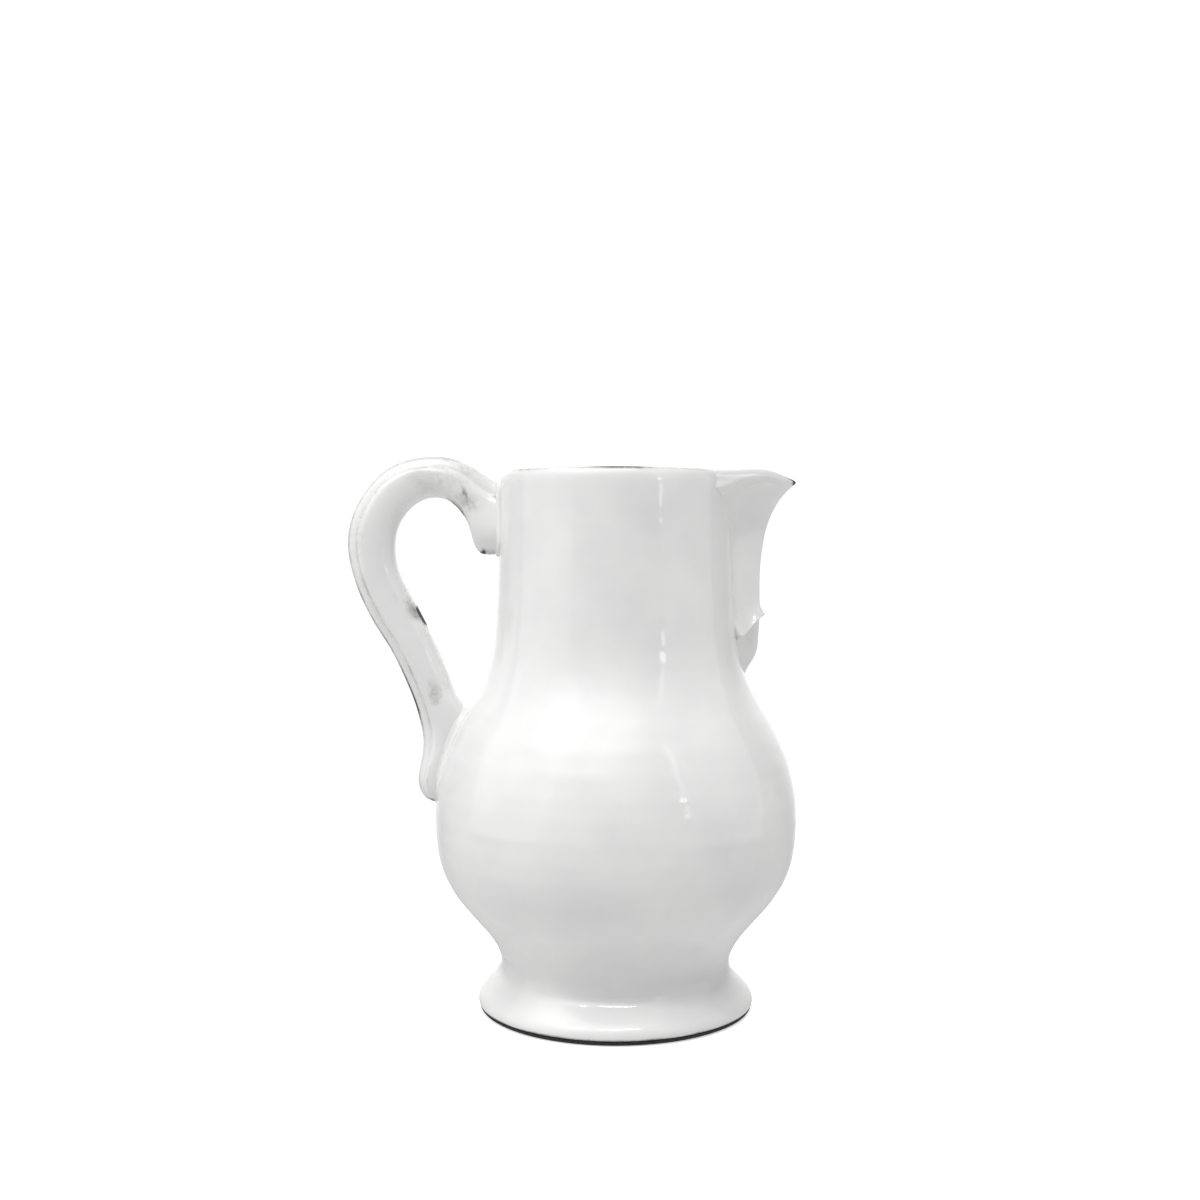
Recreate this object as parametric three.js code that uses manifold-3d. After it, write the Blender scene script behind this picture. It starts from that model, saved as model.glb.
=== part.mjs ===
// Water pitcher in white tin-glazed earthenware over dark clay.
// Millimetres, +Z up, standing on z = 0. The spout points to +X and the handle is on -X.
// Like the fired pot, it is an assembly of clay pieces made one by one and luted together
// with slip: a thrown body, a thrown foot, a beak spout and a strap handle.

import * as THREE from 'three';
import { mergeVertices } from 'three/addons/utils/BufferGeometryUtils.js';
import { LoftGeometry } from 'three/addons/geometries/LoftGeometry.js';
import Module from 'manifold-3d';

const wasm = await Module();
wasm.setup();

// ---- driving dimensions ----

const AXIS_X = 18.2;             // the throwing axis, off the middle of the whole pitcher
const GAP = 0.3;                 // clearance between pieces that touch
const SLIP = 2.2;                // thickness of the luting slip under spout and handle
const ROUND_STEPS = 48;          // facets round every thrown piece
const ACROSS = 90;               // wider than the spout, for the solids that cut it

const RIM_Z = 225.3;
const RIM_LIP = 1.8;             // radius of the rounded lip
const WALL = 5.2;                // thrown wall
const FLOOR_TOP_Z = 27.5;        // inside of the belly's floor
const BODY_BASE_Z = 20.6;        // underside of the thrown body
const FOOT_TOP_Z = 19.3;
const EDGE_Z = 2.0;              // height of the bare, unglazed standing edge

const HANDLE_WIDTH = 22;         // across the strap
const HANDLE_ROUND = 4;          // rounding of the strap's long edges
const SLIP_PROUD = 1.5;          // how far the slip shows round a handle's or spout's root
const SPOUT_WALL = 4.2;
const SPOUT_ROOT_X = 30;         // well inside the neck, where the spout's solids start
const SPOUT_BASE_Z = 138;        // below the tip of the tail
const SPOUT_RIM_Z = 225.2;
const CHANNEL_BASE_Z = 187;      // lowest point of the pouring channel

// Radius and height up the outside of the thrown body, from the waist to the lip.
const BODY_OUTLINE = [
  [47.8, BODY_BASE_Z], [50.2, 27], [56.6, 36], [65.6, 46.5], [73.1, 60], [75.5, 74],
  [75.4, 88], [72.1, 104], [65.1, 120], [56.5, 135], [51.6, 149], [49.8, 165],
  [49.0, 185], [48.7, 205], [48.5, RIM_Z - RIM_LIP],
];

// Radius and height of the flared foot, from the bare edge up to the waist.
const FOOT_OUTLINE = [
  [57.7, EDGE_Z + GAP], [57.7, 4], [56.1, 7.4], [51.9, 13], [48.6, 17], [47.7, FOOT_TOP_Z],
];
const FOOT_HOLLOW = [[39.5, FOOT_TOP_Z], [41.5, 12], [46, 6.5], [49.6, EDGE_Z + GAP]];

// Height, reach of the nose from the axis, and half angle of the root, up the spout.
const SPOUT_STATIONS = [
  { z: SPOUT_BASE_Z, nose: 53.6, half: 1.5 },
  { z: 142, nose: 55.0, half: 3 },
  { z: 148, nose: 58.6, half: 6 },
  { z: 156, nose: 60.1, half: 9 },
  { z: 164, nose: 60.6, half: 10 },
  { z: 174, nose: 60.6, half: 10 },
  { z: 184, nose: 60.8, half: 10.5 },
  { z: 194, nose: 61.9, half: 12 },
  { z: 202, nose: 63.6, half: 15.5 },
  { z: 208, nose: 65.9, half: 22 },
  { z: 214, nose: 69.5, half: 29 },
  { z: 220, nose: 75.0, half: 34.5 },
  { z: 227, nose: 81.6, half: 37.5 },
];

// The collar's side view: a wedge that is tall at the neck and comes to a ridge at the nose.
const COLLAR_OUTLINE = [[40, 171.5], [59.6, 171], [62.8, 168], [62.8, 165.6], [59, 162.4], [40, 150.5]];
const COLLAR_PROUD = 2.4;        // how far the collar stands out from the spout's sides
const TAIL_TOP_Z = 167;          // hidden inside the collar

// The strap's side view: along its outer edge, round the end of the lower tongue,
// and back along its inner edge to the lobe under the rim.
const HANDLE_OUTER = [
  [-44, 220.4], [-53.8, 223.9], [-64.3, 229.5], [-74, 231.4], [-83.5, 230.7], [-93, 227.4],
  [-101.2, 221.2], [-107.6, 212], [-111.7, 201], [-111.7, 189], [-107, 172.6], [-98.6, 156],
  [-90.2, 140.4], [-83.8, 125.5], [-81.3, 112.8], [-83.2, 99.5], [-82.4, 92], [-79.1, 87.9],
];
const HANDLE_INNER = [
  [-74.4, 87.2], [-66, 91], [-60.4, 104], [-59.6, 118], [-64.6, 127.6], [-71, 141], [-79, 159],
  [-88.3, 178.1], [-92, 190], [-91.5, 200.6], [-86.7, 208.9], [-79.4, 213.6], [-71.6, 213.4],
  [-64.8, 209], [-60.7, 201], [-57.6, 193.6], [-53, 190.2], [-44, 190.6],
];

// ---- finishes ----

const white_glaze = new THREE.MeshStandardMaterial({ color: 0xf1f1ef, roughness: 0.12, metalness: 0 });
const dark_clay = new THREE.MeshStandardMaterial({ color: 0x2a2624, roughness: 0.85, metalness: 0 });

// ---- helpers ----

// A closed three.js geometry as a solid that can be joined and cut.
function solid(geometry) {
  const bare = new THREE.BufferGeometry();
  bare.setAttribute('position', geometry.attributes.position);
  bare.setIndex(geometry.index);
  const merged = mergeVertices(bare, 1e-4);
  const mesh = new wasm.Mesh({
    numProp: 3,
    vertProperties: new Float32Array(merged.attributes.position.array),
    triVerts: new Uint32Array(merged.index.array),
  });
  return new wasm.Manifold(mesh);
}

// A solid as a named mesh with its own finish.
function piece(name, body, material) {
  const mesh = body.getMesh();
  const geometry = new THREE.BufferGeometry();
  geometry.setAttribute('position', new THREE.BufferAttribute(mesh.vertProperties, 3));
  geometry.setIndex(new THREE.BufferAttribute(mesh.triVerts, 1));
  geometry.computeVertexNormals();
  const part = new THREE.Mesh(geometry, material);
  part.name = name;
  return part;
}

function smooth(outline, steps) {
  const curve = new THREE.SplineCurve(outline.map(([x, y]) => new THREE.Vector2(x, y)));
  return curve.getPoints(steps);
}

// A closed outline of radius and height, turned round the throwing axis.
function turned(points) {
  const geometry = new THREE.LatheGeometry([...points, points[0]], ROUND_STEPS);
  return solid(geometry.rotateX(Math.PI / 2));
}

// A closed side view, x along X and y along Z, given a width across Y.
function slab(points, width, round = 0) {
  const geometry = new THREE.ExtrudeGeometry(new THREE.Shape(points), {
    depth: width - 2 * round,
    bevelEnabled: round > 0,
    bevelThickness: round,
    bevelSize: round,
    bevelOffset: -round,
    bevelSegments: 3,
    curveSegments: 1,
  });
  geometry.translate(0, 0, round - width / 2);
  return solid(geometry.rotateX(Math.PI / 2));
}

const vectors = (outline) => outline.map(([x, y]) => new THREE.Vector2(x, y));

// A profile moved out (or in, when negative) square to itself.
function moved(points, distance) {
  return points.map((point, i) => {
    const before = points[Math.max(i - 1, 0)];
    const after = points[Math.min(i + 1, points.length - 1)];
    const along = new THREE.Vector2().subVectors(after, before).normalize();
    return new THREE.Vector2(point.x + along.y * distance, point.y - along.x * distance);
  });
}

// A closed outline moved out (or in, when negative) all the way round.
function movedRound(points, distance) {
  const twice = [points.at(-1), ...points, points[0]];
  return moved(twice, distance).slice(1, -1);
}

// ---- thrown body ----

const body_profile = smooth(BODY_OUTLINE, 24);

function radiusAt(z) {
  const above = body_profile.findIndex((point) => point.y >= z);
  if (above < 0) return body_profile.at(-1).x;
  if (above === 0) return body_profile[0].x;
  const [low, high] = [body_profile[above - 1], body_profile[above]];
  return THREE.MathUtils.mapLinear(z, low.y, high.y, low.x, high.x);
}

// The body's outside as a full solid, grown by a distance.
function filledBody(growth) {
  const skin = moved(body_profile, growth);
  const top = new THREE.Vector2(skin.at(-1).x, RIM_Z + 10);
  const base = new THREE.Vector2(skin[0].x, BODY_BASE_Z - 10);
  return turned([new THREE.Vector2(0, base.y), base, ...skin, top, new THREE.Vector2(0, top.y)]);
}

function thrownBody() {
  const inner = moved(body_profile, -WALL).filter((point) => point.y > FLOOR_TOP_Z + 2);
  const lip_middle = body_profile.at(-1).x - WALL / 2;
  const lip = [
    new THREE.Vector2(lip_middle + WALL * 0.28, RIM_Z - 0.4),
    new THREE.Vector2(lip_middle, RIM_Z),
    new THREE.Vector2(lip_middle - WALL * 0.28, RIM_Z - 0.4),
  ];
  const floor = vectors([[inner[0].x - 7, FLOOR_TOP_Z], [0, FLOOR_TOP_Z - 0.5]]);
  const base = new THREE.Vector2(0, BODY_BASE_Z);
  return turned([base, ...body_profile, ...lip, ...inner.reverse(), ...floor]);
}

// ---- foot ----

function thrownFoot() {
  return turned([...smooth(FOOT_OUTLINE, 9), ...smooth(FOOT_HOLLOW, 4)]);
}

function standingEdge() {
  return turned(vectors([[50.6, 0], [55.4, 0], [56.8, 0.7], [57.5, EDGE_Z], [49.6, EDGE_Z]]));
}

function footSlip() {
  const [low, high] = [FOOT_TOP_Z + GAP, BODY_BASE_Z - GAP];
  const [inside, outside] = [FOOT_HOLLOW[0][0] + GAP, FOOT_OUTLINE.at(-1)[0] - GAP];
  return turned(vectors([[inside, low], [outside, low], [outside, high], [inside, high]]));
}

// ---- spout ----

// Plan of the spout at one height: from the neck along one side to the round nose and back.
// `proud` moves the sides and nose out (or in, when negative).
function spoutSection({ z, nose, half }, proud) {
  const angle = THREE.MathUtils.degToRad(half);
  const radius = radiusAt(z);
  const width = Math.max(radius * Math.sin(angle) + proud, 0.4);
  const tip = nose + proud;
  const start = Math.min(radius * Math.cos(angle), tip - 4);
  const blunt = Math.min(width * 0.45, 3.2);
  const right = [
    [SPOUT_ROOT_X, -width], [start, -width],
    [THREE.MathUtils.lerp(start, tip, 0.5), -THREE.MathUtils.lerp(width, blunt, 0.52)],
    [tip - 1.4, -blunt], [tip - 0.4, -blunt * 0.55],
  ];
  const left = right.map(([x, y]) => [x, -y]).reverse();
  return [...right, [tip, 0], ...left].map(([x, y]) => new THREE.Vector3(x, y, z));
}

function spoutLoft(proud, stations = SPOUT_STATIONS) {
  const sections = stations.map((station) => spoutSection(station, proud));
  return solid(new LoftGeometry(sections, { capStart: true, capEnd: true }));
}

// Everything above the spout's rim, which runs level and then dips to the tip.
function aboveSpoutRim() {
  const dip = new THREE.QuadraticBezierCurve(
    new THREE.Vector2(58, SPOUT_RIM_Z),
    new THREE.Vector2(68, SPOUT_RIM_Z),
    new THREE.Vector2(79, SPOUT_RIM_Z - 6.6),
  );
  const top = SPOUT_RIM_Z + 15;
  const corners = vectors([[90, top], [20, top], [20, SPOUT_RIM_Z]]);
  return slab([...dip.getPoints(6), ...corners], ACROSS);
}

// The hollow that leads from the neck through its wall to the tip.
function pouringChannel() {
  const stations = SPOUT_STATIONS.filter((station) => station.z > CHANNEL_BASE_Z + 4);
  const first = { z: CHANNEL_BASE_Z, nose: radiusAt(CHANNEL_BASE_Z) + 2, half: 5.5 };
  const top = { ...stations.at(-1), z: RIM_Z + 12 };
  return spoutLoft(-SPOUT_WALL, [first, ...stations, top]);
}

// ---- handle ----

const handle_profile = [...smooth(HANDLE_OUTER, 34), ...smooth(HANDLE_INNER, 34)];

// ---- assembly ----

const on_neck = filledBody(GAP);
const on_slip = filledBody(SLIP + 2 * GAP);
const slip_coat = filledBody(SLIP + GAP).subtract(on_neck);
const channel = pouringChannel();
const above_rim = aboveSpoutRim();

const beak = spoutLoft(0).subtract(on_slip).subtract(above_rim).subtract(channel);
const collar_side = slab(vectors(COLLAR_OUTLINE), ACROSS);
const collar_room = slab(movedRound(vectors(COLLAR_OUTLINE), -GAP), ACROSS);
const tail_room = slab(vectors([[0, TAIL_TOP_Z], [0, 0], [ACROSS, 0], [ACROSS, TAIL_TOP_Z]]), ACROSS);
const spout = beak.subtract(collar_room).subtract(tail_room);
const spout_tail = beak.subtract(collar_room).intersect(tail_room);
const spout_collar = spoutLoft(COLLAR_PROUD).intersect(collar_side).subtract(on_slip);
const spout_slip = spoutLoft(SLIP_PROUD).intersect(slip_coat).subtract(above_rim).subtract(channel);

const strap = slab(handle_profile, HANDLE_WIDTH, HANDLE_ROUND).subtract(on_slip);
const pads = slab(movedRound(handle_profile, SLIP_PROUD), HANDLE_WIDTH).intersect(slip_coat);
const height = (pad) => pad.boundingBox().min[2];
const [lower_pad, upper_pad] = pads.decompose().sort((a, b) => height(a) - height(b));

const pitcher = new THREE.Group();
pitcher.position.x = AXIS_X;
pitcher.add(
  piece('body', thrownBody().subtract(channel), white_glaze),
  piece('foot', thrownFoot(), white_glaze),
  piece('foot_slip_joint', footSlip(), white_glaze),
  piece('foot_standing_edge', standingEdge(), dark_clay),
  piece('spout', spout, white_glaze),
  piece('spout_collar', spout_collar, white_glaze),
  piece('spout_tail', spout_tail, white_glaze),
  piece('spout_slip_joint', spout_slip, white_glaze),
  piece('handle', strap, white_glaze),
  piece('handle_upper_slip_joint', upper_pad, white_glaze),
  piece('handle_lower_slip_joint', lower_pad, white_glaze),
);

const assembly = new THREE.Group();
assembly.add(pitcher);

export default assembly;
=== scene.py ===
"""A white glazed water pitcher of dark clay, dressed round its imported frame.

Lengths in this file are millimetres about the throwing axis unless a name says otherwise,
and `MM` turns them to the frame's metres. The spout points to +X, the handle is on -X.
"""

import logging
import math
from dataclasses import dataclass, field
from enum import Enum
from typing import Callable, Sequence

import bmesh
import bpy
from bmesh.types import BMesh, BMVert
from bpy.types import Material, Node, NodeSocket, NodeTree
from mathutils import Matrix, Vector, noise


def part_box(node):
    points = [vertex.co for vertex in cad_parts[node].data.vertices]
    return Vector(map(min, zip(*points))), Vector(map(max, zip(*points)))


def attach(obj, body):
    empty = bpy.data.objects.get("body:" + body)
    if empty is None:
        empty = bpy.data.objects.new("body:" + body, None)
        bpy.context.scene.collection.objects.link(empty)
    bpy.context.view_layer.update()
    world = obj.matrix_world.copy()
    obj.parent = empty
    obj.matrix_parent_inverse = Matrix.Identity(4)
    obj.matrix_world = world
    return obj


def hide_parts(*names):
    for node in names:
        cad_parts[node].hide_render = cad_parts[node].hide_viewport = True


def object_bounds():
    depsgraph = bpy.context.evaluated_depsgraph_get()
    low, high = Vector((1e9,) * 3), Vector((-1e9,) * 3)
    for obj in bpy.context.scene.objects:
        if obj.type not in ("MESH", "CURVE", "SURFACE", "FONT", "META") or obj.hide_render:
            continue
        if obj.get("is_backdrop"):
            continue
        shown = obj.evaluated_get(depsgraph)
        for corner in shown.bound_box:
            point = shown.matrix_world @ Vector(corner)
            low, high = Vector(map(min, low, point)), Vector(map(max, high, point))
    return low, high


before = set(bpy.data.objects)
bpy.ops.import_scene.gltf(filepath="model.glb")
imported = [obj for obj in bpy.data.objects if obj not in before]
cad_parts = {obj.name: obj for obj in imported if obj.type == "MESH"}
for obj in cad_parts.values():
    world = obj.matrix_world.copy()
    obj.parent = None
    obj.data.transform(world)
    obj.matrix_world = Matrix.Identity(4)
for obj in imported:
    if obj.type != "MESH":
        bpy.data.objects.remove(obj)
CAD_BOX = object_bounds()

MM = 0.001
# a little above 1, so that background and sweep are both plain white
WHITE_STRENGTH = 1.05
LOG = logging.getLogger("pitcher")

# without a seed of its own, this noise starts from the clock and every run differs
noise.seed_set(7)

Place = Callable[[float, float], Vector]
Pairs = tuple[tuple[float, float], ...]
Triples = tuple[tuple[float, float, float], ...]


class Slot(Enum):
    """The record's material slots."""

    GLAZE = "white_glaze"
    CLAY = "bare_clay"


# ---- curves ----


class Spline:
    """A natural cubic spline: its curvature is unbroken, so gloss runs over it without a kink."""

    def __init__(self, knots: Sequence[float], values: Sequence[float]) -> None:
        """Solves for the bend at each knot.

        Args:
            knots: Rising positions.
            values: The value at each knot.
        """
        self.knots = list(knots)
        self.values = list(values)
        count = len(self.knots)
        self.bends = [0.0] * count
        ratio = [0.0] * count
        load = [0.0] * count
        for i in range(1, count - 1):
            before = self.knots[i] - self.knots[i - 1]
            after = self.knots[i + 1] - self.knots[i]
            rise = (self.values[i + 1] - self.values[i]) / after
            fall = (self.values[i] - self.values[i - 1]) / before
            pivot = 2 * (before + after) - before * ratio[i - 1]
            ratio[i] = after / pivot
            load[i] = (6 * (rise - fall) - before * load[i - 1]) / pivot
        for i in range(count - 2, 0, -1):
            self.bends[i] = load[i] - ratio[i] * self.bends[i + 1]

    def at(self, position: float) -> float:
        """Gives the value at a position, held level past either end.

        Args:
            position: Where to read the spline.

        Returns:
            The value there.
        """
        position = min(max(position, self.knots[0]), self.knots[-1])
        i = 0
        while i < len(self.knots) - 2 and position > self.knots[i + 1]:
            i += 1
        width = self.knots[i + 1] - self.knots[i]
        b = (position - self.knots[i]) / width
        a = 1 - b
        curl = (a**3 - a) * self.bends[i] + (b**3 - b) * self.bends[i + 1]
        return a * self.values[i] + b * self.values[i + 1] + curl * width**2 / 6


class Line:
    """A smooth line through points of any dimension, read from 0 to 1 along its length."""

    def __init__(self, points: Sequence[Sequence[float]]) -> None:
        """Fits one spline to each coordinate.

        Args:
            points: The points in order.
        """
        travelled = [0.0]
        for low, high in zip(points, points[1:]):
            travelled.append(travelled[-1] + math.dist(low[:2], high[:2]))
        shares = [length / travelled[-1] for length in travelled]
        self.splines = [Spline(shares, values) for values in zip(*points)]

    def at(self, share: float) -> tuple[float, ...]:
        """Gives the point at a share of the line's length."""
        return tuple(spline.at(share) for spline in self.splines)

    def points(self, count: int) -> list[tuple[float, ...]]:
        """Gives evenly spaced points, both ends among them."""
        return [self.at(i / (count - 1)) for i in range(count)]


def smoothstep(low: float, high: float, value: float) -> float:
    """Rises smoothly from 0 at `low` to 1 at `high`."""
    share = min(max((value - low) / (high - low), 0.0), 1.0)
    return share * share * (3 - 2 * share)


def mix(low: float, high: float, share: float) -> float:
    """Blends two numbers."""
    return low + (high - low) * share


def soft_corner(first: Vector, corner: Vector, last: Vector, steps: int) -> list[Vector]:
    """Rounds a corner with a curve from one end to the other, drawn towards the corner.

    Args:
        first: Where the curve starts.
        corner: The point it is drawn towards.
        last: Where it ends.
        steps: Stretches along it.

    Returns:
        The curve's points.
    """
    curve = []
    for step in range(steps + 1):
        t = step / steps
        curve.append(first * (1 - t) ** 2 + corner * (2 * t * (1 - t)) + last * t * t)
    return curve


def direction(azimuth: float, elevation: float) -> Vector:
    """Gives the direction of a bearing from the camera's side and an elevation, in degrees."""
    bearing, rise = math.radians(azimuth), math.radians(elevation)
    level = math.cos(rise)
    return Vector((math.sin(bearing) * level, -math.cos(bearing) * level, math.sin(rise)))


# ---- mesh work ----


def hand_wobble(point: Vector) -> Vector:
    """Moves a point as the potter's hand does: slow waves well under a millimetre.

    Args:
        point: A point about the throwing axis.

    Returns:
        The moved point.
    """
    slow = noise.noise_vector(point / 62.0 + Vector((3.1, 7.7, 1.9)))
    quick = noise.noise_vector(point / 21.0 + Vector((9.2, 0.4, 5.5)))
    return point + Vector((slow.x, slow.y, slow.z * 0.4)) * 0.42 + quick * 0.07


def warped_grid(columns: int, rows: int, place: Place) -> BMesh:
    """Lays a grid over a surface, and closes it where its edges or ends meet.

    Args:
        columns: Faces across, along the first share.
        rows: Faces up, along the second share.
        place: Gives the point for two shares from 0 to 1.

    Returns:
        The mesh, in millimetres.
    """
    bm = bmesh.new()
    bmesh.ops.create_grid(bm, x_segments=columns, y_segments=rows, size=0.5)
    for vert in bm.verts:
        across = round((vert.co.x + 0.5) * columns) / columns
        up = round((vert.co.y + 0.5) * rows) / rows
        vert.co = place(across, up)
    bmesh.ops.remove_doubles(bm, verts=bm.verts, dist=0.01)
    return bm


def spun(profile: Sequence[tuple[float, float]], steps: int, closed: bool) -> BMesh:
    """Spins a profile round the throwing axis.

    Args:
        profile: Radius and height of each point.
        steps: Faces round.
        closed: Whether the profile's last point joins its first.

    Returns:
        The mesh, in millimetres.
    """
    bm = bmesh.new()
    verts = [bm.verts.new((radius, 0, height)) for radius, height in profile]
    pairs = list(zip(verts, verts[1:]))
    if closed:
        pairs.append((verts[-1], verts[0]))
    edges = [bm.edges.new(pair) for pair in pairs]
    bmesh.ops.spin(
        bm, geom=verts + edges, cent=(0, 0, 0), axis=(0, 0, 1),
        angle=math.tau, steps=steps, use_merge=True,
    )
    bmesh.ops.remove_doubles(bm, verts=bm.verts, dist=0.001)
    return bm


def loft(sections: Sequence[Sequence[Vector]], ring: bool = False) -> BMesh:
    """Lofts a closed skin through closed sections.

    Args:
        sections: The sections in order, each with the same number of points.
        ring: Whether the last section joins the first.

    Returns:
        The mesh, in millimetres.
    """
    columns = len(sections[0])
    rows = len(sections) if ring else len(sections) - 1

    def place(across: float, up: float) -> Vector:
        """Gives the section's point for two shares."""
        return sections[round(up * rows) % len(sections)][round(across * columns) % columns]

    bm = warped_grid(columns, rows, place)
    fill_ends(bm)
    return bm


def coil(path: Sequence[Vector], outward: Sequence[Vector], radii: Sequence[float]) -> BMesh:
    """Rolls a ring of slip along a closed path.

    Args:
        path: Points along the middle of the coil.
        outward: The direction off the surface at each point.
        radii: The coil's radius at each point.

    Returns:
        The mesh, in millimetres.
    """
    sections = []
    for i, middle in enumerate(path):
        along = path[(i + 1) % len(path)] - path[i - 1]
        side = along.cross(outward[i]).normalized()
        turns = [math.tau * step / 12 for step in range(12)]
        sections.append([middle + (outward[i] * math.cos(a) + side * math.sin(a)) * radii[i] for a in turns])
    return loft(sections, ring=True)


def fill_ends(bm: BMesh) -> None:
    """Closes every open end of a mesh with one face."""
    rim = [edge for edge in bm.edges if edge.is_boundary]
    if rim:
        bmesh.ops.holes_fill(bm, edges=rim, sides=0)


def full_coat(_: Vector) -> float:
    """Gives no thinning at any point."""
    return 0.0


def finish_piece(
    bm: BMesh,
    name: str,
    material: Material,
    slot: Slot,
    replaced: Sequence[str],
    thin: Callable[[Vector], float] = full_coat,
    levels: int = 1,
) -> bpy.types.Object:
    """Turns a mesh to a named piece in its place, with its finish and its coat of glaze.

    Args:
        bm: The mesh about the throwing axis, in millimetres. It is freed.
        name: The piece's name.
        material: Its finish.
        slot: The record's slot of that finish. Not used.
        replaced: The CAD nodes that the piece stands for.
        thin: How thin the glaze lies at a point, from 0 for a full coat to 1 for bare clay. On the handle it
            also carries a grey line of painted shade in the groove.
        levels: Times the mesh is subdivided.

    Returns:
        The piece.
    """
    bmesh.ops.recalc_face_normals(bm, faces=bm.faces)
    # the attribute holds the glaze's thinness, and on the handle a grey line of painted shade in the groove
    layer = bm.verts.layers.float.new("glaze_thin")
    for vert in bm.verts:
        vert[layer] = thin(vert.co)
    for vert in bm.verts:
        vert.co = (hand_wobble(vert.co) + Vector((AXIS_X, 0, 0))) * MM
    for face in bm.faces:
        face.smooth = True
    mesh = bpy.data.meshes.new(name)
    bm.to_mesh(mesh)
    bm.free()
    mesh.materials.append(material)
    piece = bpy.data.objects.new(name, mesh)
    bpy.context.scene.collection.objects.link(piece)
    if levels:
        subdivision = piece.modifiers.new("Subdivision", "SUBSURF")
        subdivision.levels = levels
        subdivision.render_levels = levels
    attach(piece, "root")
    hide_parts(*replaced)
    LOG.info("%s: %d faces before subdivision, for %s", name, len(mesh.polygons), ", ".join(replaced))
    return piece


def throwing_axis() -> float:
    """Reads where the throwing axis stands, in millimetres, from the middle of the round foot."""
    low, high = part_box("foot")
    return (low.x + high.x) / 2 / MM


AXIS_X = throwing_axis()


# ---- finishes ----


def linear(hex_colour: str) -> tuple[float, float, float, float]:
    """Turns an sRGB hex colour to linear.

    Args:
        hex_colour: Six hex digits after a hash.

    Returns:
        Linear red, green, blue and full alpha.
    """
    channels = [int(hex_colour[i : i + 2], 16) / 255 for i in (1, 3, 5)]
    toned = [c / 12.92 if c <= 0.04045 else ((c + 0.055) / 1.055) ** 2.4 for c in channels]
    return (*toned, 1.0)


def add(
    tree: NodeTree,
    kind: str,
    settings: dict[str, object] | None = None,
    **inputs: object,
) -> Node:
    """Adds a node with its settings and links.

    Args:
        tree: The tree that gets the node.
        kind: The node's type, without its ShaderNode prefix.
        settings: The node's own properties.
        **inputs: A value or a socket for each input, by its name in lower case with underscores,
            or in_0, in_1 and so on by its place.

    Returns:
        The node.
    """
    new = tree.nodes.new("ShaderNode" + kind)
    for name, value in (settings or {}).items():
        setattr(new, name, value)
    by_name = {socket.name.lower().replace(" ", "_"): socket for socket in reversed(new.inputs)}
    for name, value in inputs.items():
        socket = new.inputs[int(name[3:])] if name.startswith("in_") else by_name[name]
        if isinstance(value, NodeSocket):
            tree.links.new(value, socket)
        else:
            socket.default_value = value
    return new


def new_material(name: str) -> tuple[Material, NodeTree]:
    """Makes an empty node material.

    Args:
        name: The finish's name.

    Returns:
        The material and its tree.
    """
    material = bpy.data.materials.new(name)
    material.use_nodes = True
    material.node_tree.nodes.clear()
    return material, material.node_tree


def reckoned(tree: NodeTree, operation: str, *values: object) -> NodeSocket:
    """Adds a maths node over numbers or sockets."""
    inputs = {f"in_{i}": value for i, value in enumerate(values)}
    return add(tree, "Math", {"operation": operation}, **inputs).outputs[0]


def speckle(tree: NodeTree, place: NodeSocket, size_mm: float, detail: float, rough: float) -> NodeSocket:
    """Adds a noise of a real size.

    Args:
        tree: The tree that gets the node.
        place: Where the noise is read.
        size_mm: How wide its largest spots are.
        detail: How many finer layers lie over them.
        rough: How strong those are.

    Returns:
        The noise.
    """
    scale = 1 / (size_mm * MM)
    return add(tree, "TexNoise", vector=place, scale=scale, detail=detail, roughness=rough).outputs["Fac"]


def eased(tree: NodeTree, value: NodeSocket, low: float, high: float) -> NodeSocket:
    """Maps `low` to 0 and `high` to 1 with soft ends."""
    soft = {"interpolation_type": "SMOOTHSTEP"}
    return add(tree, "MapRange", soft, value=value, from_min=low, from_max=high).outputs["Result"]


def blended(tree: NodeTree, share: NodeSocket, first: object, second: object) -> NodeSocket:
    """Blends two colours, each a value or a socket."""
    return add(tree, "Mix", {"data_type": "RGBA"}, factor=share, in_6=first, in_7=second).outputs[2]


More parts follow.
